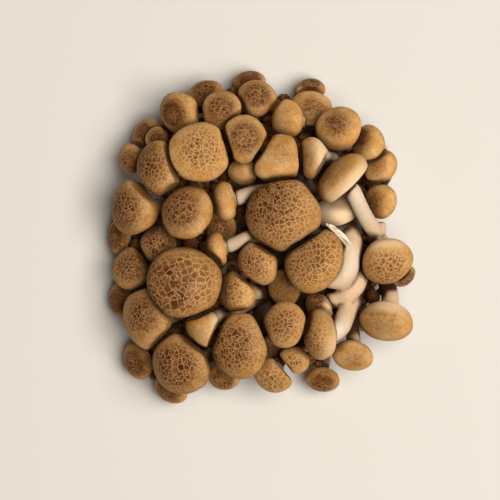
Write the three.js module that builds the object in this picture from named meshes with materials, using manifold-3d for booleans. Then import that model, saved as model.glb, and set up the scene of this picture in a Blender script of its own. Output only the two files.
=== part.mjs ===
// A bunch of brown beech mushrooms, picked whole and lying on its side.
// Fifty-eight mushrooms grow out of one butt, the pale mass that was cut from the growing block.
// The butt and all the stems are one grown body, and each brown cap is a solid of its own.
// Millimetres, +Z up, the origin under the middle of the bunch. +Y is the side where the small caps are.

import * as THREE from "three";
import { mergeVertices } from "three/addons/utils/BufferGeometryUtils.js";
import Module from "manifold-3d";

const wasm = await Module();
wasm.setup();
const { clamp, degToRad, lerp } = THREE.MathUtils;

// ---- Driving dimensions -------------------------------------------------------------------

const GAP = 0.3; // clear space between two solids
const BUTT_MIDDLE = new THREE.Vector3(27, 3, 11);
const BUTT_RADII = new THREE.Vector3(14, 16, 11); // across, along Y, and along the growing direction
const BUTT_RISE = new THREE.Vector3(-0.75, 0, 0.66).normalize(); // the way the bunch grew
const BUTT_CUT = 8; // from the butt's middle back to the knife cut
const NECK_BASE = 0.9; // stem radius under the cap: a fixed part
const NECK_SHARE = 0.115; // and a share of the cap's width
const FOOT_SPREAD = 0.3; // how much thicker a stem is at its foot
const ROOT_SPREAD = 0.24; // how far apart the stems leave the butt, against where their caps are
const SAG = 9; // how far a plain stem hangs below its arch
const GILL_DEPTH = 0.09; // half the height of a gill, as a share of the cap's radius

const YELLOW_BROWN = 0xa8743c;
const IVORY = 0xe6d2b0;

// One row for each mushroom: the middle of its cap (x, y, z), the cap's width, how far its top leans
// from upright and towards where (degrees, counter-clockwise from +X), and how young it is. A young
// cap (1) is a tall bell with its margin drawn in, and an old one (0) is wide and open.
// Where there is more, it lists the points that its stem bends through, and how stout that stem is.
const MUSHROOMS = [
  [-29.4, 45.0, 27, 17.2, 35, 205, 0.5],
  [-21.5, 29.8, 38, 23.8, 10, 330, 0.3],
  [-36.7, 24.0, 32.5, 21.5, 40, 185, 0.4],
  [-38.5, 36.0, 22, 10.0, 45, 150, 0.8],
  [-43.0, 37.8, 13, 13.5, 65, 150, 0.7],
  [-48.5, 28.5, 17, 12.5, 60, 180, 0.7],
  [-46.7, 10.0, 26.5, 23.0, 48, 175, 0.3],
  [-26.5, 8.0, 37, 21.5, 30, 140, 0.3],
  [-12.9, 11.8, 33, 15.5, 78, 190, 0.4, [[15, 12, 15], [1, 15.5, 27]]],
  [-38.0, -4.5, 23, 16.0, 35, 190, 0.5],
  [-48.5, -13.5, 20, 17.0, 45, 160, 0.4],
  [-27.2, -18.7, 38, 28.4, 8, 90, 0.0],
  [-42.2, -32.5, 27, 23.0, 45, 190, 0.3],
  [-28.9, -49.2, 32, 24.4, 30, 190, 0.2],
  [-20.2, -36.0, 35, 17.0, 56, 215, 1.0, [[8, -19, 11], [-5, -27, 17], [-13, -31, 24]]],
  [-7.5, -42.0, 36, 25.0, 30, 180, 0.2],
  [-7.7, -22.2, 32, 17.5, 48, 180, 0.7],
  [-15.7, -6.2, 33, 13.4, 78, 191, 0.3, [[12, 0, 14], [-3, -1.5, 28]]],
  [0.0, -11.7, 34, 16.8, 20, 170, 0.6],
  [9.5, 6.4, 38, 29.8, 25, 210, 0.1],
  [20.5, -9.8, 37, 25.0, 30, 150, 0.2,
    [[36, 1, 20], [38, -7, 28], [37, -14, 30], [32.5, -18.5, 28], [27, -17, 26.5]], 1.08],
  [9.8, -21.0, 23, 15.0, 50, 200, 0.6],
  [10.0, -34.7, 36, 17.5, 20, 180, 0.5],
  [23.0, -38.4, 34, 20.0, 72, 185, 0.3,
    [[37, -10, 11], [37, -21, 16.5], [35.2, -28, 22.5], [32.3, -33, 27.5]], 1.15],
  [14.0, -48.4, 24, 12.0, 45, 240, 0.8],
  [6.0, -54.5, 23, 16.0, 50, 250, 0.5],
  [36.0, -46.9, 25, 15.5, 55, 260, 0.5, [[38, -10, 9], [36.5, -26, 14], [36, -36, 18]]],
  [48.6, -34.0, 27, 21.0, 60, 255, 0.4, [[47, -12, 10], [50, -21, 16]]],
  [48.8, -10.8, 31, 19.8, 42, 280, 1.0, [[42, -1, 11]]],
  [46.6, 12.0, 24, 13.8, 45, 185, 0.6],
  [46.8, 25.5, 20, 13.5, 35, 140, 0.6],
  [41.9, 33.9, 23, 14.5, 45, 170, 0.6],
  [30.5, 39.4, 30, 17.2, 15, 180, 0.4],
  [20.2, 28.0, 34, 16.0, 50, 185, 0.5],
  [30.9, 21.1, 37, 22.8, 80, 135, 0.1,
    [[38, -3, 9], [43.5, -2, 14], [44.6, -0.5, 23], [41.2, 4.5, 29.5], [37.8, 10, 34.5]], 0.84],
  [7.4, 27.3, 35, 20.3, 20, 200, 0.5],
  [11.0, 43.0, 29, 14.5, 42, 180, 0.6],
  [20.5, 48.0, 17.5, 15.5, 35, 90, 0.5],
  [20.5, 55.5, 10, 11.5, 60, 90, 0.7],
  [-5.5, 23.0, 27, 11.5, 40, 270, 0.8],
  [30.0, 8.8, 25.5, 17.5, 68, 108, 0.6],
  [23.0, -28.5, 24, 13.0, 75, 213, 0.6,
    [[39, -4, 13], [41, -13, 23], [39.3, -19.5, 26.5], [34, -24, 26]], 1.25],
  [55.5, -16.5, 22, 10.0, 60, 300, 0.8],
  [-13.0, -55.0, 17, 13.0, 50, 250, 0.7],
  [-46.2, -49.5, 11, 15.0, 60, 200, 0.5],
  [-13.5, 46.0, 30, 16.5, 20, 130, 0.4],
  [-0.5, 51.0, 26, 16.0, 35, 80, 0.5],
  [-5.0, 35.0, 36, 19.0, 10, 60, 0.4],
  [-53.5, -1.5, 9, 13.5, 75, 180, 0.6],
  [-53.0, -26.0, 9, 13.5, 75, 185, 0.6],
  [-20.0, 53.5, 16, 14.0, 60, 110, 0.6],
  [-3.0, 58.5, 9, 12.5, 75, 95, 0.7],
  [25.0, -56.5, 12, 13.5, 65, 265, 0.6],
  [-33.5, -60.0, 11, 14.5, 65, 235, 0.6],
  [-14.0, 1.5, 16, 13.5, 30, 180, 0.6],
  [-15.5, -27.0, 15, 13.0, 40, 200, 0.6],
  [5.5, -44.5, 13, 13.0, 60, 260, 0.6],
  [42.5, -33.0, 10, 13.0, 65, 300, 0.6],
].map(grow);

// Works out from a row of the table what the cap and the stem are made from.
function grow([x, y, z, width, lean, towards, youth, bends = [], stout = 1], index) {
  const radius = width / 2;
  const height = radius * lerp(0.85, 1.25, youth);
  const up = new THREE.Vector3().setFromSphericalCoords(1, degToRad(lean), degToRad(towards));
  up.set(up.z, up.x, up.y); // three.js measures lean from Y, and this part from Z
  const middle = new THREE.Vector3(x, y, z);
  return {
    name: "cap_" + String(index + 1).padStart(2, "0"),
    index,
    radius,
    height,
    up,
    middle,
    youth,
    rim: middle.clone().addScaledVector(up, -0.45 * height),
    neck: stout * (NECK_BASE + NECK_SHARE * width),
    bends: bends.map((p) => new THREE.Vector3(...p)),
    sides: width < 15.6 ? 10 : width < 19 ? 12 : 14,
  };
}

// ---- Caps -----------------------------------------------------------------------------------

// How far a cap reaches from its middle in a direction, taken as an ellipsoid.
const AXIAL_SHARE = 0.62; // of its height
function reach(cap, direction) {
  const axial = direction.dot(cap.up);
  const across = Math.sqrt(Math.max(0, 1 - axial * axial));
  return Math.hypot(across * cap.radius, axial * cap.height * AXIAL_SHARE);
}

// The planes that part a cap from its neighbours. Where two caps would share space both give way,
// the lower one more, as crowded caps press each other flat. The last plane is the surface below.
function partings(cap) {
  const planes = MUSHROOMS.filter((other) => other !== cap).map((other) => {
    const normal = other.middle.clone().sub(cap.middle);
    const apart = normal.length();
    normal.divideScalar(apart);
    const shared = reach(cap, normal) + reach(other, normal) - apart;
    const under = clamp((other.middle.z - cap.middle.z) / 6, -1, 1);
    const kept = reach(cap, normal) - shared * (0.5 + 0.4 * under);
    return { normal, limit: normal.dot(cap.middle) + kept - GAP / 2, shoulder: 1.2 };
  });
  planes.push({ normal: new THREE.Vector3(0, 0, -1), limit: 0, shoulder: 0 });
  return planes;
}

// Moves a point of a cap back behind its parting planes, with a rounded shoulder.
function press(point, planes, clear) {
  for (let pass = 0; pass < 6; pass++) {
    for (const { normal, limit, shoulder } of planes) {
      const past = normal.dot(point) - limit - clear;
      if (past <= -shoulder) continue;
      const kept = shoulder ? -shoulder * Math.exp(-(past + shoulder) / shoulder) : 0;
      point.addScaledVector(normal, kept - past);
    }
  }
}

// The outline that a cap is turned from: out from the stem under the gills, round the margin, and
// up over the dome. With some clearance it is the space that the cap needs, closed off flat below.
const DOME_DEGREES = [90, 67, 45, 24, 0];
const SMALL_DOME_DEGREES = [90, 62, 32, 0];
const GILL_RINGS = [1, 2]; // the outline's points that carry the gills
function capOutline({ radius, height, youth, neck, sides }, clear) {
  const belly = radius * lerp(0.3, 0.5, youth); // height of the widest place
  const margin = radius * lerp(0.9, 0.76, youth);
  const lip = 0.11 * radius;
  const under = clear ? -clear - GILL_DEPTH * radius : 0;
  const degrees = sides > 10 ? DOME_DEGREES : SMALL_DOME_DEGREES;
  const dome = degrees.map(degToRad).map(
    (a) => new THREE.Vector2((radius + clear) * Math.sin(a), belly + (height - belly + clear) * Math.cos(a)),
  );
  return [
    new THREE.Vector2(0, under + 0.02 * radius),
    new THREE.Vector2(neck * 1.3, under),
    new THREE.Vector2(margin - lip, under || 0.5 * lip),
    new THREE.Vector2(margin + clear, under / 2),
    ...dome,
  ];
}

function capGeometry(cap, clear = 0) {
  const outline = capOutline(cap, clear);
  const turned = new THREE.LatheGeometry(outline, cap.sides);
  const place = turned.getAttribute("position");
  const stand = standing(cap);
  const unstand = stand.clone().invert();
  const planes = partings(cap);
  const phase = cap.index * 2.4;
  const point = new THREE.Vector3();
  for (let i = 0; i < place.count; i++) {
    point.fromBufferAttribute(place, i);
    const side = Math.floor(i / outline.length) % cap.sides;
    const round = Math.atan2(point.z, point.x);
    const lobe = 1 + 0.035 * Math.sin(2 * round + phase) + 0.025 * Math.sin(3 * round + 2 * phase);
    point.x *= lobe;
    point.z *= lobe;
    if (!clear && GILL_RINGS.includes(i % outline.length)) {
      point.y += (side % 2 ? 1 : -1) * GILL_DEPTH * cap.radius;
    }
    press(point.applyMatrix4(stand), planes, clear);
    point.applyMatrix4(unstand);
    place.setXYZ(i, point.x, point.y, point.z);
  }
  return closed(turned);
}

// The matrix that stands a cap, turned about Y with its margin at the origin, on its stem.
function standing(cap) {
  const turn = new THREE.Quaternion().setFromUnitVectors(new THREE.Vector3(0, 1, 0), cap.up);
  return new THREE.Matrix4().compose(cap.rim, turn, new THREE.Vector3(1, 1, 1));
}

// ---- Stems and butt ---------------------------------------------------------------------------

const STEM_STEPS = 5; // of a plain stem
const BENT_STEM_STEPS = 9;

// Where a stem leaves the butt: spread over its top in the same order as the caps.
function rootOf(cap) {
  const offset = cap.middle.clone().sub(BUTT_MIDDLE);
  offset.addScaledVector(BUTT_RISE, -offset.dot(BUTT_RISE));
  const spread = Math.min(ROOT_SPREAD * offset.length(), BUTT_RADII.x - 5);
  return BUTT_MIDDLE.clone().addScaledVector(offset.normalize(), spread);
}

// A stem's line as it would grow alone, from its root up to its cap.
function freeLine(cap) {
  const root = rootOf(cap);
  const top = cap.rim.clone().addScaledVector(cap.up, -1.5 * GAP - GILL_DEPTH * cap.radius);
  if (cap.bends.length) {
    const neck = top.clone().addScaledVector(cap.up, -2.5);
    const bent = new THREE.CatmullRomCurve3([root, ...cap.bends, neck, top], false, "centripetal");
    return bent.getSpacedPoints(BENT_STEM_STEPS);
  }
  const span = top.distanceTo(root);
  const rise = root.clone().addScaledVector(BUTT_RISE, 0.2 * span);
  const neck = top.clone().addScaledVector(cap.up, -0.25 * span);
  const plain = new THREE.CatmullRomCurve3([root, rise, neck, top], false, "centripetal");
  return plain.getSpacedPoints(STEM_STEPS).map((point, k) => {
    point.z -= SAG * Math.sin((Math.PI * k) / STEM_STEPS);
    return point;
  });
}

// All the stems' lines, each eased out of the caps in its way and kept above the surface.
function stemLines() {
  const free = MUSHROOMS.map(freeLine);
  const shifts = free.map((line) => line.map(() => new THREE.Vector3()));
  const point = new THREE.Vector3();
  const away = new THREE.Vector3();
  for (let pass = 0; pass < 60; pass++) {
    MUSHROOMS.forEach((own, i) => {
      const last = free[i].length - 1;
      for (let k = 1; k < last; k++) {
        point.copy(free[i][k]).add(shifts[i][k]);
        for (const cap of MUSHROOMS) {
          if (cap === own && k > last - 2) continue;
          away.copy(point).sub(cap.middle);
          const distance = away.length();
          away.divideScalar(distance);
          const needed = reach(cap, away) + own.neck * 1.15 + GAP;
          if (distance < needed) point.addScaledVector(away, 0.5 * (needed - distance));
        }
        point.z = Math.max(point.z, own.neck * 1.2);
        shifts[i][k].copy(point).sub(free[i][k]);
      }
      for (let k = 1; k < last; k++) {
        const between = shifts[i][k - 1].clone().add(shifts[i][k + 1]).multiplyScalar(0.5);
        shifts[i][k].lerp(between, 0.15);
      }
    });
  }
  return free.map((line, i) => line.map((p, k) => p.add(shifts[i][k])));
}

// A column turned about Y and then bent along a line, with a radius for each step of the way.
// It can be flattened, and its end can be squared to a direction.
function column(line, radii, sides, flatness = 1, facing = null) {
  const last = radii.length - 1;
  const outline = radii.map((radius, k) => new THREE.Vector2(radius, k));
  outline.unshift(new THREE.Vector2(0, 0));
  outline.push(new THREE.Vector2(0, last));
  const turned = new THREE.LatheGeometry(outline, sides);
  const curve = new THREE.CatmullRomCurve3(line, false, "centripetal");
  const { tangents, normals, binormals } = curve.computeFrenetFrames(last, false);
  const square = new THREE.Quaternion().setFromUnitVectors(tangents[last], facing ?? tangents[last]);
  normals[last].applyQuaternion(square);
  binormals[last].applyQuaternion(square);
  const place = turned.getAttribute("position");
  for (let i = 0; i < place.count; i++) {
    const step = place.getY(i);
    const point = curve.getPointAt(step / last);
    point.addScaledVector(normals[step], place.getX(i));
    point.addScaledVector(binormals[step], -place.getZ(i) * flatness);
    place.setXYZ(i, point.x, point.y, point.z);
  }
  return closed(turned);
}

// A stem: thick at its foot, slim for most of its length, and flared a little under the cap.
function stemGeometry(cap, line) {
  const last = line.length;
  const radii = Array.from({ length: last + 1 }, (_, k) => {
    const t = k / last;
    const flare = 0.15 * Math.exp(-(((1 - t) / 0.08) ** 2));
    return cap.neck * (1 + FOOT_SPREAD * (1 - t) ** 1.5 + flare);
  });
  return column(line, radii, cap.bends.length || cap.radius > 11 ? 8 : 6, 1, cap.up);
}

// A strip of stem skin torn loose when the bunch was packed, curling up from one stem.
function tornGeometry() {
  const line = [[36.5, -3.5, 24], [34.2, -4.4, 29], [33, -3.4, 34], [29.8, 0.4, 36.6], [25.4, 3.5, 37.6]];
  return column(line.map((p) => new THREE.Vector3(...p)), [1.6, 1.7, 1.5, 1.8, 1.5, 0.5], 7, 0.35);
}

// The swollen foot of the stem that stands out on top, wider across than the stem itself.
function footGeometry() {
  const line = [[41.6, -3.4, 20], [44.2, -0.6, 22.5], [48.4, 3.6, 22.5]];
  return column(line.map((p) => new THREE.Vector3(...p)), [0.8, 3, 3.4, 2.9, 0.8], 8);
}

function buttGeometry() {
  const lump = new THREE.SphereGeometry(1, 12, 10);
  const place = lump.getAttribute("position");
  const point = new THREE.Vector3();
  for (let i = 0; i < place.count; i++) {
    point.fromBufferAttribute(place, i);
    point.multiplyScalar(1 + 0.05 * Math.sin(5 * point.x + 1) * Math.cos(4 * point.z));
    place.setXYZ(i, point.x, point.y, point.z);
  }
  const along = new THREE.Vector3(0, 1, 0);
  const across = along.clone().cross(BUTT_RISE).normalize();
  lump.scale(BUTT_RADII.x, BUTT_RADII.y, BUTT_RADII.z);
  lump.applyMatrix4(new THREE.Matrix4().makeBasis(across, along, BUTT_RISE));
  return closed(lump.translate(...BUTT_MIDDLE.toArray()));
}

// ---- Solids -------------------------------------------------------------------------------------

// A geometry with its shared points merged and its empty triangles dropped.
function closed(geometry) {
  geometry.deleteAttribute("normal");
  geometry.deleteAttribute("uv");
  const merged = mergeVertices(geometry, 1e-3);
  const corners = merged.index.array;
  const kept = [];
  for (let i = 0; i < corners.length; i += 3) {
    const [a, b, c] = [corners[i], corners[i + 1], corners[i + 2]];
    if (a !== b && b !== c && c !== a) kept.push(a, b, c);
  }
  return merged.setIndex(kept);
}

function solid(geometry) {
  return new wasm.Manifold(
    new wasm.Mesh({
      numProp: 3,
      vertProperties: new Float32Array(geometry.getAttribute("position").array),
      triVerts: new Uint32Array(geometry.index.array),
    }),
  );
}

function geometryOf(made) {
  const { vertProperties, triVerts } = made.getMesh();
  return new THREE.BufferGeometry()
    .setAttribute("position", new THREE.BufferAttribute(vertProperties, 3))
    .setIndex(new THREE.BufferAttribute(triVerts, 1));
}

// A half space behind a point, facing a direction.
function behind(point, facing) {
  const box = new THREE.BoxGeometry(200, 200, 60).translate(0, 0, -30);
  const turn = new THREE.Quaternion().setFromUnitVectors(new THREE.Vector3(0, 0, 1), facing);
  return solid(closed(box.applyQuaternion(turn).translate(...point.toArray())));
}

// What is left of a body when the caps and the space round them are taken out of it.
const keepOuts = MUSHROOMS.map((cap) => solid(capGeometry(cap, GAP).applyMatrix4(standing(cap))));
function clearOfCaps(body) {
  return keepOuts.reduce((left, keepOut) => {
    return left.intersect(keepOut).isEmpty() ? left : left.subtract(keepOut);
  }, body);
}

function largest(body) {
  return body.decompose().sort((a, b) => b.volume() - a.volume())[0];
}

const knifeCut = behind(BUTT_MIDDLE.clone().addScaledVector(BUTT_RISE, -BUTT_CUT), BUTT_RISE);
const pieces = [solid(buttGeometry()).subtract(knifeCut), solid(tornGeometry()), solid(footGeometry())];
stemLines().forEach((line, i) => pieces.push(solid(stemGeometry(MUSHROOMS[i], line))));
const whole = pieces.map((piece) => largest(clearOfCaps(piece))).reduce((a, b) => a.add(b));
const grown = largest(whole.subtract(behind(new THREE.Vector3(), new THREE.Vector3(0, 0, 1))));

const bunch = new THREE.Group();
for (const cap of MUSHROOMS) {
  const skin = new THREE.MeshStandardMaterial({ color: YELLOW_BROWN, roughness: 0.6, metalness: 0 });
  const mesh = new THREE.Mesh(capGeometry(cap), skin);
  mesh.name = cap.name;
  mesh.applyMatrix4(standing(cap));
  bunch.add(mesh);
}
const flesh = new THREE.MeshStandardMaterial({ color: IVORY, roughness: 0.55, metalness: 0 });
const stems = new THREE.Mesh(geometryOf(grown), flesh);
stems.name = "stems_and_butt";
bunch.add(stems);

// The origin goes under the middle of the bunch.
bunch.updateMatrixWorld(true);
const extent = new THREE.Box3().setFromObject(bunch, true);
const ground = extent.getCenter(new THREE.Vector3()).setZ(extent.min.z);
bunch.children.forEach((mesh) => mesh.position.sub(ground));

export default bunch;
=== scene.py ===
import math

import bmesh
import bpy
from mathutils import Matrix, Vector, bvhtree, noise


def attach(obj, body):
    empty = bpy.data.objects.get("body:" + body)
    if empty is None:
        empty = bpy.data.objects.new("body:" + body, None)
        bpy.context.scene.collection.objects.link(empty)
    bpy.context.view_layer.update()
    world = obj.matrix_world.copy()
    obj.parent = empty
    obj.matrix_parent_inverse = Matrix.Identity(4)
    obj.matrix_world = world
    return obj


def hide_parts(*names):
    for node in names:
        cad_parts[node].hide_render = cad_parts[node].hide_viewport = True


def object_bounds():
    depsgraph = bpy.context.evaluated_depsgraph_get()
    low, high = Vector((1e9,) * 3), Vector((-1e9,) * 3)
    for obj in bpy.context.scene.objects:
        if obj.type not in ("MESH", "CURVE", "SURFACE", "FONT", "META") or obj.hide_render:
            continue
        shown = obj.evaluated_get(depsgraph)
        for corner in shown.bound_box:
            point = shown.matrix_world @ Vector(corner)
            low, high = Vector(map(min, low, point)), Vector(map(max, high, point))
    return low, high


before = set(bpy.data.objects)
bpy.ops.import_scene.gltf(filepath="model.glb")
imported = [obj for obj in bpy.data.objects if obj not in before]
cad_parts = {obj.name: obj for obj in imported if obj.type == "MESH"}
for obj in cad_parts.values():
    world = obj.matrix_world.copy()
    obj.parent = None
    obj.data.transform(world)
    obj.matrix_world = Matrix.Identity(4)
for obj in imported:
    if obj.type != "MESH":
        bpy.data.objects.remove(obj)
cad_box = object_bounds()

# ---- The camera --------------------------------------------------------------------------
# It looks straight down on the bunch from a metre above its caps, through a long lens.

CAMERA_PLACE = (-0.0040, -0.0051, 1.036)
CAMERA_LENS = 192  # in mm, over a sensor of 36 mm

camera = bpy.data.objects.new("camera", bpy.data.cameras.new("camera"))
camera.location = CAMERA_PLACE
camera.data.sensor_width = 36
camera.data.lens = CAMERA_LENS
bpy.context.scene.collection.objects.link(camera)
bpy.context.scene.camera = camera

# ---- The caps ----------------------------------------------------------------------------
# Each mushroom has a domed cap of firm flesh under a thin matt skin. The skin is yellow-brown,
# darkest on the crown, where it is marbled: pale lines part it into brown cells. The margin
# rolls in, and the flesh is hollowed behind it to hold the gills.
# Painted shade darkens the skin as it turns down to the margin, where neighbours close it in, and on
# caps that lie in shade.

MM = 0.001
POLE_EDGES = 10  # at least so many edges meet at a modelled cap's crown, and in its socket
FACES_ROUND = 56
DOME_ROWS = 19  # of faces, from the crown to the turn of the margin
MARGIN_ROWS = 4
GILL_ROWS = 5  # from the margin to the stem
ROLLED = 0.965  # how far down to the margin the skin begins to roll in
SHARP = 0.995  # the same on a margin that is still straight and sharp
SHARP_MARGINS = [35, 41]  # the two caps that have one
GILL_SHARE = 0.15  # depth of the gills, as a share of the cap's radius
GILL_END = 0.92  # how far in from the lip the hollow runs before it closes on the stem
COLLAR_SINK = 0.9 * MM  # how far the flesh runs down into the top of the stem
LUMPS = 130  # low lumps in a metre of skin
LUMP_RISE = 0.012  # their height, as a share of the cap's radius
CAP_SHELTER_REACH = 10 * MM  # how near a neighbour has to be to add painted shade to a cap
SHELTER_WAYS = [  # sixteen ways to look out from a point, spread evenly on a spiral
    Vector((math.sin(2.4 * i) * math.sqrt(1 - z * z), math.cos(2.4 * i) * math.sqrt(1 - z * z), z))
    for i, z in enumerate([k / 8 - 15 / 16 for k in range(16)])
]
BLURS = 3  # how many times the shading is evened out over a mesh

# Distances over the skin are angles seen from just below the cap's middle. A quarter turn is 1.
DARK_REACH = 0.72  # from the dark centre to where its tone has faded out
DARK_FADE = 0.6  # how much of that way it fades over
RIM_START = 0.6  # from the crown to where painted shade begins to darken the skin again
RIM_FADE = 0.35  # from there to its full tone
RIM_PAINTED_SHADE = 0.2  # how much darker the painted shade makes the skin then
MARBLING_REACH = 0.95  # of the pale lines, on the most marbled cap
MARBLING_FADE = 0.45  # how much of that way they fade over
LINE_WIDTH = 0.21  # of the pale lines between the cells, in mm

GOLD = "dbad70"
GOLD_DEEP = "c9924e"
GRAIN_BROWN = "7a4818"
CROWN_AND_SHADE_BROWN = "532c0e"
CELL_BROWN = "966326"
CELL_PALE = "9c6c3a"
CELL_DARK = "44240a"
LINE_PALE = "cfa26a"
LINE_DEEP = "a87a4c"
CREAM = "e6c9a2"
CREAM_DEEP = "d9b386"
SKIN_PAINTED_SHADE = "321606"

# What sets a cap apart: where its dark centre lies from its middle, as seen from above and in
# cap radii (x, y), how dark it is, how strongly it is marbled, and the width of a cell in mm.
# The darkness is the crown's own brown with painted shade in it: it is deeper on caps that lie
# in shade (1, 4, 5 and 42), and on marbled caps the centre sits further from the lamp. Cap 24
# is lighter, as painted light on a cap that the lamp reaches less.
CAP_MARKS = {
    1: (-0.55, -0.12, 1.45, 0.35, 1.3),
    2: (0.00, 0.15, 0.60, 0.80, 1.5),
    3: (-0.65, 0.20, 1.12, 0.85, 1.6),
    4: (-0.20, 0.20, 1.20, 0.40, 1.4),
    5: (-0.30, 0.20, 1.20, 0.40, 1.4),
    6: (-0.30, -0.30, 1.10, 0.70, 1.2),
    7: (-0.67, -0.05, 1.25, 0.80, 1.6),
    8: (-0.45, 0.25, 1.40, 0.72, 1.9),
    9: (-0.60, 0.30, 0.25, 0.05, 1.4),
    10: (-0.10, 0.10, 1.40, 0.80, 1.4),
    11: (-0.20, 0.30, 1.30, 0.80, 1.4),
    12: (-0.48, 0.00, 1.40, 1.00, 2.1),
    13: (-0.35, 0.10, 1.10, 0.70, 1.7),
    14: (-0.42, -0.10, 1.50, 0.85, 1.6),
    15: (-0.45, 0.00, 0.40, 0.30, 1.3),
    16: (-0.42, 0.00, 1.20, 0.90, 1.5),
    17: (-0.47, 0.15, 0.43, 0.80, 1.4),
    18: (-0.70, 0.30, 0.20, 0.05, 1.4),
    19: (-0.55, -0.05, 1.10, 0.90, 1.3),
    20: (-0.60, 0.30, 1.18, 1.00, 1.6),
    21: (-0.37, 0.30, 0.73, 1.00, 1.6),
    22: (-0.20, 0.00, 0.85, 0.50, 1.2),
    23: (-0.32, 0.05, 0.90, 0.85, 1.5),
    24: (-0.30, 0.00, 0.20, 0.85, 1.4),
    25: (0.00, 0.00, 0.50, 0.70, 1.2),
    26: (0.00, -0.10, 0.50, 0.80, 1.8),
    27: (0.05, -0.40, 0.60, 0.25, 1.1),
    28: (-0.30, -0.20, 0.60, 0.20, 1.2),
    29: (-0.05, -0.40, 0.50, 0.80, 1.5),
    30: (-0.65, 0.00, 0.90, 0.15, 1.2),
    31: (-0.50, 0.10, 0.70, 0.10, 1.2),
    32: (-0.70, 0.35, 1.15, 0.15, 1.2),
    33: (-0.25, 0.20, 1.05, 0.20, 1.2),
    34: (-0.35, 0.05, 0.65, 0.10, 1.2),
    35: (-0.60, 0.45, 0.60, 0.10, 1.2),
    36: (0.00, 0.30, 0.50, 0.15, 1.3),
    37: (-0.30, 0.00, 0.40, 0.10, 1.3),
    38: (0.00, 0.20, 0.90, 0.15, 1.3),
    40: (-0.20, 0.20, 0.40, 0.10, 1.3),
    41: (-0.60, 0.80, 0.05, 0.00, 1.3),
    42: (-0.50, 0.20, 0.95, 0.10, 1.3),
}
# A cap that isn't listed is darkest on its crown, and this is the rest of its row.
LOW_CAP_MARKS = (1.40, 0.60, 1.4)
# Paler flanks: the way they face, as seen from above, how pale they are, and where in cap radii
# from the middle they begin.
CREAM_SIDES = {
    15: (1.0, 0.15, 0.8, 0.35),
    24: (0.9, -0.4, 0.6, 0.2),
    27: (0.2, 1.0, 0.6, 0.4),
    28: (0.1, 1.0, 1.0, 0.25),
    29: (-0.1, 1.0, 0.9, 0.35),
    34: (0.8, 0.1, 0.7, -0.05),
    35: (0.7, -0.7, 0.9, -0.05),
    41: (0.3, -1.0, 1.0, -0.9),
    42: (1.0, -0.2, 0.8, 0.1),
}


def between(a, b, c, d, share):
    """The point a share of the way from b to c, on a smooth line through all four."""
    bend = b * 2 + (c - a) * share
    bend += (a * 2 - b * 5 + c * 4 - d) * share**2
    bend += (b * 3 - a - c * 3 + d) * share**3
    return bend / 2


def clearance(pole, stems_below):
    """How far a pole and the ring round it keep from the stems."""
    corners = [pole.co] + [e.other_vert(pole).co for e in pole.link_edges]
    return max(stems_below.find_nearest(corner)[3] for corner in corners)


def rings_of(node, stems_below):
    """The corners of a modelled cap: its crown, its rings from there, and its stem socket."""
    shape = bmesh.new()
    shape.from_mesh(node.data)
    bmesh.ops.remove_doubles(shape, verts=shape.verts, dist=0.001 * MM)
    shape.verts.ensure_lookup_table()
    poles = [v for v in shape.verts if len(v.link_edges) >= POLE_EDGES]
    crown = max(poles, key=lambda pole: clearance(pole, stems_below))
    rings = [[crown.co.copy()]]
    passed = {crown}
    ring = {e.other_vert(crown) for e in crown.link_edges}
    while len(ring) > 1:
        walk = [next(v for v in shape.verts if v in ring)]
        while len(walk) < len(ring):
            near = [e.other_vert(walk[-1]) for e in walk[-1].link_edges]
            near = [v for v in near if v in ring and v not in walk]
            walk.append(min(near, key=lambda v: v.index))
        corners = [v.co.copy() for v in walk]
        if len(rings) > 1:
            corners = in_step(corners, rings[-1])
        rings.append(corners)
        passed |= ring
        ring = {e.other_vert(v) for v in ring for e in v.link_edges} - passed
    rings.append([v.co.copy() for v in ring])
    shape.free()
    return rings


def in_step(corners, ring_above):
    """The same ring, started and turned so that each corner is below one of the ring above."""
    count = len(corners)
    turned = [corners[start:] + corners[:start] for start in range(count)]
    turned += [way[::-1] for way in turned]
    return min(turned, key=lambda way: sum((a - b).length for a, b in zip(way, ring_above)))


def round_ring(ring, turn):
    """The point on a ring at a share of a whole turn."""
    place = turn * len(ring)
    index = math.floor(place)
    corner = [ring[(index + step) % len(ring)] for step in (-1, 0, 1, 2)]
    return between(*corner, place - index)


def level_ring(ring):
    """The ring halfway between the ridges and the hollows of the modelled gills."""
    count = len(ring)
    return [(ring[i - 1] + ring[i] * 2 + ring[(i + 1) % count]) / 4 for i in range(count)]


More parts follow.
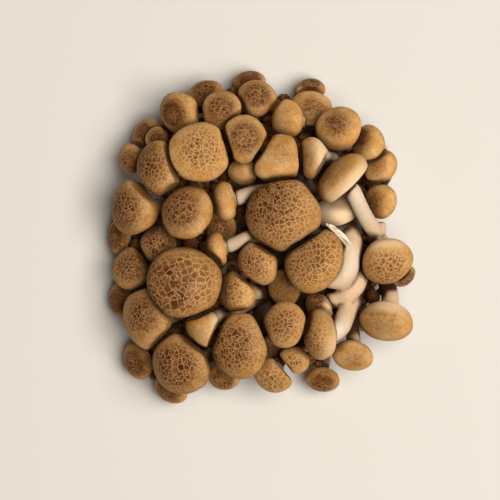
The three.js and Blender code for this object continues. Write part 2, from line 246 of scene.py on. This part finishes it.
class Cap:
    """The corners of one cap, and the lines of its skin from the crown to the stem."""

    def __init__(self, number, node, stems_below):
        self.number = number
        rings = rings_of(node, stems_below)
        self.crown = rings[0][0]
        self.socket = rings[-1][0]
        self.dome = rings[1:-3]  # the last of these is the margin
        self.lip = level_ring(rings[-3])
        self.neck = level_ring(rings[-2])
        self.up = (self.crown - self.socket).normalized()
        belly = self.dome[-2]
        self.middle = sum(belly, Vector()) / len(belly)
        self.radius = sum((p - self.middle).length for p in belly) / len(belly)
        self.gill_depth = GILL_SHARE * self.radius

    def dome_line(self, turn):
        """The corners from the crown to the margin at one turn, with one beyond each end."""
        line = [round_ring(self.dome[0], turn + 0.5), self.crown]
        line += [round_ring(ring, turn) for ring in self.dome]
        return line + [line[-1] * 2 - line[-2]]

    def skin_line(self, turn):
        """The points of the skin from the crown to the socket at one turn."""
        corners = self.dome_line(turn)
        spans = len(corners) - 3
        points = []
        rolled = SHARP if self.number in SHARP_MARGINS else ROLLED
        for row in range(DOME_ROWS):
            place = row / DOME_ROWS * spans * rolled
            index = math.floor(place)
            points.append(between(*corners[index : index + 4], place - index))
        margin = corners[-2]
        lip = round_ring(self.lip, turn)
        start = points[-1]
        for row in range(1, MARGIN_ROWS + 1):
            share = row / MARGIN_ROWS
            points.append(start.lerp(margin, share).lerp(margin.lerp(lip, share), share))
        for row in range(1, GILL_ROWS + 1):
            points.append(self.flesh(turn, row / GILL_ROWS * GILL_END))
        sunk = self.up * COLLAR_SINK
        points.append(round_ring(self.neck, turn) - sunk)
        points.append(self.socket - sunk)
        return points

    def gill_edge(self, turn, inward):
        """The free edge of the gills, from the lip (0) to the stem (1)."""
        return round_ring(self.lip, turn).lerp(round_ring(self.neck, turn), inward)

    def flesh(self, turn, inward):
        """The hollowed flesh over the gills."""
        depth = self.gill_depth * min(1, 3.5 * inward) * min(1, 4 * (1.06 - inward))
        return self.gill_edge(turn, inward) + self.up * depth


def marks_of(cap):
    """The cap's dark centre as a direction from its middle, with the rest of its row."""
    on_crown = (0.6 * cap.up.x, 0.6 * cap.up.y, *LOW_CAP_MARKS)
    x, y, dark, net, cell = CAP_MARKS.get(cap.number, on_crown)
    centre = Vector((x, y, math.sqrt(max(0.05, 1 - x * x - y * y)))).normalized()
    return centre, dark, net, cell


def share_of(value):
    """A number kept between 0 and 1."""
    return max(0, min(1, value))


def skin_object(cap):
    """The skin: a globe of faces laid over the cap's lines, with what its colour is read from."""
    skin = bmesh.new()
    rows = DOME_ROWS + MARGIN_ROWS + GILL_ROWS + 2
    bmesh.ops.create_uvsphere(skin, u_segments=FACES_ROUND, v_segments=rows - 1, radius=1)
    place = skin.verts.layers.float_vector.new("skin_place")
    line_width = skin.verts.layers.float.new("skin_line")
    tone = skin.verts.layers.float_vector.new("skin_tone")
    centre, dark, net, cell = marks_of(cap)
    spread = 0.1 + 0.25 * net**2  # of the dark tone that reaches the margin
    net_centre = centre + 2 * cap.up
    cream_x, cream_y, cream, cream_edge = CREAM_SIDES.get(cap.number, (0, 0, 0, 0))
    pale_way = Vector((cream_x, cream_y, 0)).normalized() / cap.radius
    lines = [cap.skin_line(turn / FACES_ROUND) for turn in range(FACES_ROUND)]
    lengths = []
    for line in lines:
        run = [0]
        for a, b in zip(line, line[1:]):
            run.append(run[-1] + (b - a).length / MM)
        lengths.append(run)
    for vert in skin.verts:
        row = round(Vector((0, 0, 1)).angle(vert.co) / math.pi * (rows - 1))
        angle = math.atan2(vert.co.y, vert.co.x) / math.tau
        turn = round(angle * FACES_ROUND) % FACES_ROUND
        run = lengths[turn][row] / cell
        around = math.tau * turn / FACES_ROUND
        vert.co = lines[turn][row]
        vert[place] = (run * math.cos(around), run * math.sin(around), cap.number)
        out = (vert.co - cap.middle + cap.up * 0.25 * cap.radius).normalized()
        off_centre = out.angle(centre) / (0.5 * math.pi)
        near = share_of((DARK_REACH - off_centre) / DARK_FADE)
        darkness = dark * (spread + (1 - spread) * near * near * (3 - 2 * near))
        # Painted shade: the skin darkens as it turns down towards the margin.
        rim = share_of((out.angle(cap.up) / (0.5 * math.pi) - RIM_START) / RIM_FADE)
        darkness += RIM_PAINTED_SHADE * rim
        off_crown = out.angle(net_centre) / (0.5 * math.pi)
        marbling = share_of(min(1.3 * net, (MARBLING_REACH * net - off_crown) / MARBLING_FADE))
        past_edge = (vert.co - cap.middle).dot(pale_way) - cream_edge
        paleness = cream * share_of(2.2 * past_edge)
        if row >= DOME_ROWS + 2:  # round the margin and under it the flesh is bare
            darkness, marbling, paleness = 0, 0, 1.5
        vert[tone] = (darkness, marbling, paleness)
        vert[line_width] = LINE_WIDTH / cell
    bmesh.ops.recalc_face_normals(skin, faces=skin.faces)
    if skin.calc_volume(signed=True) < 0:
        bmesh.ops.reverse_faces(skin, faces=skin.faces)
    skin.normal_update()
    for vert in skin.verts:
        lump = noise.noise(vert.co * LUMPS + Vector((cap.number, 0, 0)))
        vert.co += vert.normal * lump * LUMP_RISE * cap.radius
    return smooth_object(f"skin_{cap.number:02}", skin)


def linked(mesh):
    """An object at the origin that shows a mesh."""
    obj = bpy.data.objects.new(mesh.name, mesh)
    bpy.context.scene.collection.objects.link(obj)
    return obj


def smooth_object(name, shape):
    """A smooth object made from a mesh in the making."""
    mesh = bpy.data.meshes.new(name)
    shape.to_mesh(mesh)
    shape.free()
    mesh.shade_smooth()
    return linked(mesh)


def colour(text):
    """A hex colour as the shader's linear numbers."""
    values = [int(text[i : i + 2], 16) / 255 for i in (0, 2, 4)]
    return [((v + 0.055) / 1.055) ** 2.4 if v > 0.04 else v / 12.92 for v in values] + [1]


class Nodes:
    """The nodes of one material, added in the order that the finish is built up."""

    def __init__(self, name):
        self.material = bpy.data.materials.new(name)
        self.material.use_nodes = True
        self.tree = self.material.node_tree
        self.shader = self.tree.nodes["Principled BSDF"]

    def add(self, kind, inputs, **settings):
        node = self.tree.nodes.new("ShaderNode" + kind)
        for key, value in settings.items():
            setattr(node, key, value)
        for key, value in inputs.items():
            self.feed(node.inputs[key], value)
        return node.outputs

    def feed(self, socket, value):
        if isinstance(value, bpy.types.NodeSocket):
            self.tree.links.new(value, socket)
        else:
            socket.default_value = value

    def math(self, operation, a, b=0.0, clamp=False):
        return self.add("Math", {0: a, 1: b}, operation=operation, use_clamp=clamp)[0]

    def ramp(self, value, low, high, to_low=0.0, to_high=1.0):
        inputs = {0: value, 1: low, 2: high, 3: to_low, 4: to_high}
        return self.add("MapRange", inputs, interpolation_type="SMOOTHSTEP")[0]

    def mix(self, share, a, b):
        node = self.tree.nodes.new("ShaderNodeMix")
        node.data_type = "RGBA"
        self.feed(node.inputs[0], share)
        self.feed(node.inputs[6], a)
        self.feed(node.inputs[7], b)
        return node.outputs[2]

    def wander(self, vector, scale, amount):
        """The place moved about, so that a pattern on it is uneven."""
        sway = self.add("TexNoise", {"Vector": vector, "Scale": scale, "Detail": 2.0})["Color"]
        sway = self.add("VectorMath", {0: sway, 1: (amount, amount, 0)}, operation="MULTIPLY")[0]
        return self.add("VectorMath", {0: vector, 1: sway}, operation="ADD")[0]

    def cells(self, vector, scale, line):
        """Rounded cells: how solid they are, how deep inside one, and a shade for each."""
        inputs = {"Vector": vector, "Scale": scale, "Randomness": 1.0}
        edge = self.add("TexVoronoi", inputs, voronoi_dimensions="2D", feature="DISTANCE_TO_EDGE")[0]
        near = self.add("TexVoronoi", inputs, voronoi_dimensions="2D", feature="F1")
        side = self.ramp(self.math("DIVIDE", edge, self.math("MULTIPLY", line, scale)), 0.0, 1.4)
        corner = self.ramp(near["Distance"], 0.8, 1.2, 1.0, 0.0)
        solid = self.math("MULTIPLY", side, corner)
        shade = self.add("SeparateXYZ", {"Vector": near["Color"]})[0]
        return solid, self.ramp(edge, 0.05, 0.4), shade

    def noise(self, vector, scale, detail=2.0, rough=0.5):
        inputs = {"Vector": vector, "Scale": scale, "Detail": detail, "Roughness": rough}
        return self.add("TexNoise", inputs)[0]


def skin_material():
    """Yellow-brown skin with a dark marbled crown, a fine grain, cream flanks on some caps, and
    painted shade on the flanks and where neighbours close it in.
    """
    n = Nodes("cap_skin_marbled")
    place = n.add("Attribute", {}, attribute_name="skin_place")["Vector"]
    parts = n.add("SeparateXYZ", {"Vector": place})
    tone = n.add("Attribute", {}, attribute_name="skin_tone")["Vector"]
    tones = n.add("SeparateXYZ", {"Vector": tone})
    dark, marbling, pale = tones[0], tones[1], tones[2]
    shelter = n.add("Attribute", {}, attribute_name="shelter")["Fac"]
    where = n.add("TexCoord", {})["Object"]
    own = n.add("CombineXYZ", {0: n.math("MULTIPLY", parts[2], 31.7), 1: parts[2]})[0]
    shifted = n.add("VectorMath", {0: place, 1: own}, operation="ADD")[0]
    warped = n.wander(n.wander(shifted, 0.5, 1.4), 2.2, 0.3)
    line = n.add("Attribute", {}, attribute_name="skin_line")["Fac"]
    ragged = n.math("MULTIPLY", line, n.ramp(n.noise(shifted, 1.7), 0.3, 0.7, 0.7, 1.4))
    large, core, cell_tint = n.cells(warped, 0.85, ragged)
    small = n.cells(warped, 1.8, n.math("MULTIPLY", ragged, 0.6))[0]
    split = n.ramp(n.noise(shifted, 0.55, 1), 0.42, 0.56, 0.0, 0.8)
    small = n.math("SUBTRACT", 1.0, n.math("MULTIPLY", n.math("SUBTRACT", 1.0, small), split))
    cell = n.math("MULTIPLY", large, small)

    patches = n.noise(where, 160, 3)
    mottle = n.noise(where, 900, 3, 0.6)
    grain = n.noise(where, 2600, 3, 0.65)
    gold = n.mix(n.ramp(patches, 0.35, 0.65), colour(GOLD_DEEP), colour(GOLD))
    gold = n.mix(n.ramp(mottle, 0.45, 0.75, 0.0, 0.25), gold, colour(GRAIN_BROWN))
    gold = n.mix(n.ramp(grain, 0.42, 0.72, 0.0, 0.35), gold, colour(GRAIN_BROWN))
    coarse = n.ramp(mottle, 0.25, 0.75, 0.7, 1.1)
    fine = n.ramp(grain, 0.3, 0.7, -0.2, 0.2)
    speckled = n.math("ADD", coarse, fine)
    cloud = n.math("MULTIPLY", dark, speckled, clamp=True)
    smooth_skin = n.mix(cloud, gold, colour(CROWN_AND_SHADE_BROWN))
    deep = n.math("MULTIPLY", dark, 1.0, clamp=True)
    brown = n.mix(deep, colour(CELL_BROWN), colour(CELL_DARK))
    brown = n.mix(n.ramp(cell_tint, 0.2, 1.0, 0.0, 0.3), brown, colour(CELL_PALE))
    brown = n.mix(n.math("MULTIPLY", core, 0.35), brown, colour(CELL_DARK))
    deeper = n.math("MULTIPLY", dark, 1.15, clamp=True)
    crack = n.mix(deeper, colour(LINE_PALE), colour(LINE_DEEP))
    netted = n.mix(cell, crack, brown)
    patchy = n.ramp(n.noise(shifted, 0.8), 0.25, 0.7, 0.6, 1.15)
    fade = n.math("MULTIPLY", marbling, patchy, clamp=True)
    skin = n.mix(fade, smooth_skin, netted)
    cream = n.mix(n.ramp(patches, 0.3, 0.7), colour(CREAM), colour(CREAM_DEEP))
    skin = n.mix(n.math("MULTIPLY", pale, 1.0, clamp=True), skin, cream)
    # Painted shade: dark brown where neighbours close the skin in.
    skin = n.mix(n.ramp(shelter, 0.1, 0.75, 0.0, 0.65), skin, colour(SKIN_PAINTED_SHADE))
    n.feed(n.shader.inputs["Base Color"], skin)

    raised = n.math("MULTIPLY", cell, fade)
    height = n.math("ADD", n.math("MULTIPLY", raised, 0.5), n.math("MULTIPLY", grain, 0.35))
    bump = {"Height": height, "Distance": 0.12 * MM, "Strength": 0.5}
    n.feed(n.shader.inputs["Normal"], n.add("Bump", bump)[0])
    n.feed(n.shader.inputs["Roughness"], n.ramp(grain, 0.3, 0.7, 0.5, 0.66))
    n.shader.inputs["Specular IOR Level"].default_value = 0.1
    n.shader.inputs["Subsurface Weight"].default_value = 0.06
    n.shader.inputs["Subsurface Radius"].default_value = (1.0, 0.5, 0.25)
    n.shader.inputs["Subsurface Scale"].default_value = 1.0 * MM
    return n.material


def joined_surface(nodes):
    """All the modelled solids as one surface that a line of sight can be tried against."""
    whole = bmesh.new()
    for node in nodes:
        whole.from_mesh(node.data)
    surface = bvhtree.BVHTree.FromBMesh(whole)
    whole.free()
    return surface


def keep_blurred(mesh, name, values):
    """Keeps a number for each point of a mesh, evened out among the points next to it."""
    edges = [tuple(edge.vertices) for edge in mesh.edges]
    for _ in range(BLURS):
        total, count = values[:], [1] * len(values)
        for a, b in edges:
            total[a] += values[b]
            total[b] += values[a]
            count[a] += 1
            count[b] += 1
        values = [whole / parts for whole, parts in zip(total, count)]
    mesh.attributes.new(name, "FLOAT", "POINT").data.foreach_set("value", values)


def shelter_mesh(mesh, reach):
    """Keeps on each point of a mesh how much its neighbours close it in, from 0 to 1, for painted
    shade.
    """
    closed_in = []
    for vert in mesh.vertices:
        start = vert.co + vert.normal * 0.8 * MM
        ways = [(way + vert.normal).normalized() for way in SHELTER_WAYS]
        closed = [way for way in ways if bunch_surface.ray_cast(start, way, reach)[0]]
        closed_in.append(len(closed) / len(ways))
    keep_blurred(mesh, "shelter", closed_in)


stem_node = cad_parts["stems_and_butt"]
stem_mesh = bmesh.new()
stem_mesh.from_mesh(stem_node.data)
stems_below = bvhtree.BVHTree.FromBMesh(stem_mesh)
stem_mesh.free()
bunch_surface = joined_surface(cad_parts.values())

cap_skin = skin_material()
caps = []
for name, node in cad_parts.items():
    if not name.startswith("cap_"):
        continue
    cap = Cap(int(name[4:]), node, stems_below)
    caps.append(cap)
    skin = skin_object(cap)
    shelter_mesh(skin.data, CAP_SHELTER_REACH)
    skin.data.materials.append(cap_skin)
    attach(skin, "root")
    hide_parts(name)

# ---- The gills ---------------------------------------------------------------------------
# Thin cream blades of flesh hang under each cap, from the lip in to the top of the stem. Every
# second one is short and reaches only partway in, so that they stay evenly apart.

GILL_GAP = 0.85 * MM  # from one gill to the next at the lip
GILL_THICK = 0.22 * MM
GILL_ROOT = 0.25 * MM  # how far a gill is sunk into the flesh over it
LONG_GILL = 0.98  # how far in it reaches, as a share of the way to the stem
SHORT_GILL = 0.55
GILL_CREAM = "ecdcbf"
GILL_DEEP = "e0c8a2"


def gills_object(cap):
    """All the gills of one cap."""
    gills = bmesh.new()
    around = math.tau * 0.85 * cap.radius
    count = 2 * round(around / GILL_GAP / 2)
    for index in range(count):
        turn = index / count
        reach_in = SHORT_GILL if index % 2 else LONG_GILL
        blade = bmesh.new()
        bmesh.ops.create_grid(blade, x_segments=5, y_segments=1, size=0.5)
        for vert in blade.verts:
            inward = (vert.co.x + 0.5) * reach_in
            edge = cap.gill_edge(turn, inward)
            top = cap.flesh(turn, inward) + cap.up * GILL_ROOT
            hang = vert.co.y + 0.5
            if index % 2:
                hang *= math.cos(0.5 * math.pi * inward / reach_in)
            vert.co = top.lerp(edge, hang)
        bmesh.ops.solidify(blade, geom=blade.faces, thickness=GILL_THICK)
        mesh = bpy.data.meshes.new("blade")
        blade.to_mesh(mesh)
        gills.from_mesh(mesh)
        bpy.data.meshes.remove(mesh)
        blade.free()
    bmesh.ops.recalc_face_normals(gills, faces=gills.faces)
    mesh = bpy.data.meshes.new(f"gills_{cap.number:02}")
    gills.to_mesh(mesh)
    gills.free()
    return linked(mesh)


def gill_material():
    """Moist cream flesh, a little deeper in patches."""
    n = Nodes("gill_flesh")
    where = n.add("TexCoord", {})["Object"]
    patches = n.noise(where, 400, 2)
    flesh = n.mix(n.ramp(patches, 0.3, 0.7), colour(GILL_CREAM), colour(GILL_DEEP))
    n.feed(n.shader.inputs["Base Color"], flesh)
    n.shader.inputs["Roughness"].default_value = 0.6
    n.shader.inputs["Specular IOR Level"].default_value = 0.3
    return n.material


gill_flesh = gill_material()
for cap in caps:
    gills = gills_object(cap)
    gills.data.materials.append(gill_flesh)
    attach(gills, "root")

# ---- The stems and the butt --------------------------------------------------------------
# All the stems grow out of one butt, which a knife cut from its block. They are one body of firm
# ivory flesh, with fine fibres along each stem. Painted shade makes it tan low down and duller
# away from the butt, in among the caps, and near-black brown where the bunch closes it in and in
# the creases between stems.

STEM_GRID = 0.7 * MM  # the side of a face
STEM_FILL = 0.25 * MM  # makes up for what rounding takes off a stem
STEM_SHELTER_REACH = 16 * MM  # how near a neighbour has to be to add painted shade to a stem
IVORY = "d4c3ac"
IVORY_DEEP = "c6b096"
PAINTED_LOW_TAN = "c7a47c"
PAINTED_DULL_SHADE = "9c8468"
FIBRE = "b09070"
STEM_PAINTED_SHADE = "361e0d"
BUTT_MIDDLE = (0.0258, 0.0045, 0.011)


def stems_object():
    """The modelled stems, laid over with an even skin of small faces and smoothed."""
    rough = linked(stem_node.data.copy())
    welded = bmesh.new()
    welded.from_mesh(rough.data)
    bmesh.ops.remove_doubles(welded, verts=welded.verts, dist=0.001 * MM)
    welded.to_mesh(rough.data)
    welded.free()
    rounded = rough.modifiers.new("rounded", "SUBSURF")
    rounded.levels = rounded.render_levels = 2
    filled = rough.modifiers.new("filled", "DISPLACE")
    filled.mid_level = 0
    filled.strength = STEM_FILL
    remesh = rough.modifiers.new("even_skin", "REMESH")
    remesh.mode = "VOXEL"
    remesh.voxel_size = STEM_GRID
    smooth = rough.modifiers.new("smooth", "SMOOTH")
    smooth.factor = 0.5
    smooth.iterations = 2
    evaluated = rough.evaluated_get(bpy.context.evaluated_depsgraph_get())
    mesh = bpy.data.meshes.new_from_object(evaluated)
    mesh.name = "stems_and_butt_flesh"
    bpy.data.objects.remove(rough)
    mesh.materials.clear()
    mesh.shade_smooth()
    return linked(mesh)


def crease_mesh(mesh):
    """Keeps on each point how deep it lies in a crease, as mm below the points next to it, for painted
    shade.
    """
    rise, count = [0] * len(mesh.vertices), [0] * len(mesh.vertices)
    for edge in mesh.edges:
        a, b = edge.vertices
        for here, there in ((a, b), (b, a)):
            start, end = mesh.vertices[here], mesh.vertices[there]
            rise[here] += (end.co - start.co).dot(start.normal) / MM
            count[here] += 1
    keep_blurred(mesh, "crease_depth", [whole / parts for whole, parts in zip(rise, count)])


def stem_material():
    """Ivory flesh with faint fibres, with painted shade: tan low down, duller away from the butt, and
    dark where closed in and in creases.
    """
    n = Nodes("stem_flesh")
    where = n.add("TexCoord", {})["Object"]
    from_butt = n.add("VectorMath", {0: where, 1: BUTT_MIDDLE}, operation="SUBTRACT")[0]
    way = n.add("VectorMath", {0: from_butt}, operation="NORMALIZE")[0]
    fibres = n.noise(way, 55, 2, 0.6)
    patches = n.noise(where, 90, 3)
    grain = n.noise(where, 1500, 2, 0.6)
    ivory = n.mix(n.ramp(patches, 0.3, 0.7), colour(IVORY), colour(IVORY_DEEP))
    parts = n.add("SeparateXYZ", {"Vector": where})
    height = parts[2]
    # Painted shade: tan lower down in the bunch.
    ivory = n.mix(n.ramp(height, 26 * MM, 36 * MM, 0.8, 0.0), ivory, colour(PAINTED_LOW_TAN))
    # Painted shade: duller away from the butt, in among the caps.
    ivory = n.mix(n.ramp(parts[0], 0.0, 22 * MM, 0.6, 0.0), ivory, colour(PAINTED_DULL_SHADE))
    ivory = n.mix(n.ramp(fibres, 0.45, 0.8, 0.0, 0.35), ivory, colour(FIBRE))
    shelter = n.add("Attribute", {}, attribute_name="shelter")["Fac"]
    crease = n.add("Attribute", {}, attribute_name="crease_depth")["Fac"]
    # Painted shade: near-black brown where the bunch closes the flesh in, sooner low down.
    low = n.ramp(height, 14 * MM, 26 * MM, 0.45, 0.0)
    shade = n.ramp(n.math("ADD", shelter, low), 0.45, 0.85)
    # Painted shade in the creases between stems.
    shade = n.math("MAXIMUM", shade, n.ramp(crease, 0.0, 0.06, 0.0, 0.85))
    flesh = n.mix(shade, ivory, colour(STEM_PAINTED_SHADE))
    n.feed(n.shader.inputs["Base Color"], flesh)
    rough = n.math("ADD", n.math("MULTIPLY", fibres, 0.7), n.math("MULTIPLY", grain, 0.3))
    bump = {"Height": rough, "Distance": 0.15 * MM, "Strength": 0.4}
    n.feed(n.shader.inputs["Normal"], n.add("Bump", bump)[0])
    n.shader.inputs["Roughness"].default_value = 0.55
    n.shader.inputs["Specular IOR Level"].default_value = 0.2
    n.shader.inputs["Subsurface Weight"].default_value = 0.35
    n.shader.inputs["Subsurface Radius"].default_value = (1.0, 0.6, 0.35)
    n.shader.inputs["Subsurface Scale"].default_value = 2.5 * MM
    return n.material


stems = stems_object()
shelter_mesh(stems.data, STEM_SHELTER_REACH)
crease_mesh(stems.data)
stem_flesh = stem_material()
stems.data.materials.append(stem_flesh)
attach(stems, "root")
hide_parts("stems_and_butt")

# ---- The late pins -----------------------------------------------------------------------
# Small mushrooms that came up last, on the sides of the older stems, and were left in the gaps
# between them. Each is a little brown cap on a short stem that bends upwards. They go wherever
# the table would show from above between the stems, and their dark caps fill those gaps as
# painted shade.

PIN_STEP = 1.0 * MM  # between the places that are tried for a pin
PIN_HEIGHTS = [3, 5, 7, 10, 13]  # of the places, in mm
PIN_LEAST = 0.85 * MM  # radius of the smallest
PIN_MOST = 3.3 * MM  # and of the largest
PIN_CLEARANCE = 0.25 * MM  # between a pin and what is round it
PIN_UNDERSIDE = 0.4  # depth of the cap's underside, as a share of its radius
PIN_STEM = 0.45  # radius of the stem at its foot, as a share of the cap's
PIN_NECK = 0.35  # and under the cap
PIN_DARK = 0.9  # how dark the cap's skin is at its edge, dark as painted shade in the gaps
PIN_CROWN_DARK = 0.3  # how much darker it is on its crown
SEEN_ROUND = 26 * MM  # how near the bunch has to be round a pin
SIDES_TRIED = 12
SIDES_CLOSED = 9  # on how many of them the bunch has to be that near
WAYS_ROUND = [
    Vector((math.cos(math.tau * side / SIDES_TRIED), math.sin(math.tau * side / SIDES_TRIED), 0))
    for side in range(SIDES_TRIED)
]


def among_stems(place):
    """Whether a place has nothing over it and the bunch round most of it."""
    if bunch_surface.ray_cast(place, Vector((0, 0, 1)), 1)[0]:
        return False
    closed = [way for way in WAYS_ROUND if bunch_surface.ray_cast(place, way, SEEN_ROUND)[0]]
    return len(closed) >= SIDES_CLOSED


def pin_places():
    """The radius and the middle of each pin, the widest first, none in the way of another."""
    low, high = [Vector(corner) for corner in cad_box]
    tried = []
    for step_x in range(int((high.x - low.x) / PIN_STEP)):
        for step_y in range(int((high.y - low.y) / PIN_STEP)):
            for height in PIN_HEIGHTS:
                place = low + Vector((step_x * PIN_STEP, step_y * PIN_STEP, height * MM))
                if among_stems(place):
                    room = bunch_surface.find_nearest(place)[3] - PIN_CLEARANCE
                    tried.append((min(room, PIN_MOST, place.z), place))
    pins = []
    for radius, middle in sorted(tried, key=lambda pin: -pin[0]):
        if radius > PIN_LEAST and all((middle - m).length > radius + r for r, m in pins):
            pins.append((radius, middle))
    return pins


def bent_cone(shape, points, radii, flatness=1):
    """Adds a cone to a mesh, curved from the first point towards the second and on to the last."""
    cone = bmesh.new()
    bmesh.ops.create_cone(cone, cap_ends=True, segments=8, radius1=radii[0], radius2=radii[1], depth=1)
    sides = [e for e in cone.edges if abs(e.verts[0].co.z - e.verts[1].co.z) > 0.5]
    bmesh.ops.subdivide_edges(cone, edges=sides, cuts=5)
    start, bend, end = [Vector(point) for point in points]
    across = (end - start).cross(Vector((0.01, 0, 1))).normalized()
    over = across.cross(end - start).normalized() * flatness
    for vert in cone.verts:
        along = vert.co.z + 0.5
        middle = start.lerp(bend, along).lerp(bend.lerp(end, along), along)
        vert.co = middle + across * vert.co.x + over * vert.co.y
    bmesh.ops.recalc_face_normals(cone, faces=cone.faces)
    mesh = bpy.data.meshes.new("cone")
    cone.to_mesh(mesh)
    shape.from_mesh(mesh)
    bpy.data.meshes.remove(mesh)
    cone.free()


pin_caps = bmesh.new()
pin_tone = pin_caps.verts.layers.float_vector.new("skin_tone")
pin_stems = bmesh.new()
for radius, middle in pin_places():
    root = stems_below.find_nearest(middle)[0]
    up = ((middle - root).normalized() * 0.5 + Vector((0, 0, 0.8))).normalized()
    turn = up.to_track_quat("Z", "Y")
    dome = bmesh.ops.create_uvsphere(pin_caps, u_segments=16, v_segments=10, radius=1)
    for vert in dome["verts"]:
        vert[pin_tone] = (PIN_DARK + PIN_CROWN_DARK * vert.co.z, 0, 0)
        vert.co.z *= 1 if vert.co.z > 0 else PIN_UNDERSIDE
        vert.co = middle + turn @ (vert.co * radius)
    under = middle - up * 0.3 * radius
    stem_line = [root, under - up * radius, under]
    bent_cone(pin_stems, stem_line, [PIN_STEM * radius, PIN_NECK * radius])

pin_cap = smooth_object("pin_caps", pin_caps)
shelter_mesh(pin_cap.data, CAP_SHELTER_REACH)
pin_cap.data.materials.append(cap_skin)
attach(pin_cap, "root")
pin_stem = smooth_object("pin_stems", pin_stems)
shelter_mesh(pin_stem.data, STEM_SHELTER_REACH)
pin_stem.data.materials.append(stem_flesh)
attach(pin_stem, "root")

# ---- The torn fibres ---------------------------------------------------------------------
# The strip of skin that came loose from one stem has split, and a few thin stiff fibres stand
# off it.

FIBRE_ROOT = 0.75 * MM  # its radius where it leaves the strip
FIBRE_TIP = 0.06 * MM
FIBRE_FLATNESS = 0.45
FIBRES = [  # from, towards, and to, in mm
    [(28.0, 2.6, 37.2), (31.0, 1.1, 38.0), (33.2, -1.4, 37.0)],
    [(29.4, 1.0, 36.9), (32.6, -1.0, 37.8), (34.6, -4.0, 36.2)],
    [(25.4, 4.0, 37.8), (26.6, 4.3, 38.3), (28.6, 3.0, 38.4)],
]

split_skin = bmesh.new()
for points in FIBRES:
    line = [Vector(point) * MM for point in points]
    bent_cone(split_skin, line, [FIBRE_ROOT, FIBRE_TIP], FIBRE_FLATNESS)
fibres = smooth_object("torn_fibres", split_skin)
fibres.data.materials.append(gill_flesh)
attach(fibres, "root")

# ---- The floor and the light -------------------------------------------------------------
# A plain pale table under one large soft lamp, with a little light from the room.

TABLE_PALE = "cac4bb"
LAMP_PLACE = Vector((0.5, -0.05, 1.5))
LAMP_SIDE = 1.0
LAMP_WATTS = 40
LAMP_TINT = (1.0, 0.98, 0.95)
ROOM_TINT = (1.0, 0.9, 0.8, 1)
ROOM_LIGHT = 0.06

table = bmesh.new()
bmesh.ops.create_grid(table, x_segments=1, y_segments=1, size=1.5)
table_top = smooth_object("table", table)
pale = bpy.data.materials.new("pale_table")
pale.use_nodes = True
pale.node_tree.nodes["Principled BSDF"].inputs["Base Color"].default_value = colour(TABLE_PALE)
pale.node_tree.nodes["Principled BSDF"].inputs["Roughness"].default_value = 0.8
table_top.data.materials.append(pale)

lamp = bpy.data.objects.new("key_lamp", bpy.data.lights.new("key_lamp", "AREA"))
lamp.data.size = LAMP_SIDE
lamp.data.energy = LAMP_WATTS
lamp.data.color = LAMP_TINT
lamp.location = LAMP_PLACE
lamp.rotation_euler = (-LAMP_PLACE).to_track_quat("-Z", "Y").to_euler()
bpy.context.scene.collection.objects.link(lamp)
world = bpy.data.worlds.new("studio")
world.use_nodes = True
world.node_tree.nodes["Background"].inputs["Color"].default_value = ROOM_TINT
world.node_tree.nodes["Background"].inputs["Strength"].default_value = ROOM_LIGHT
bpy.context.scene.world = world
bpy.context.scene.view_settings.view_transform = "Standard"

bpy.context.view_layer.update()
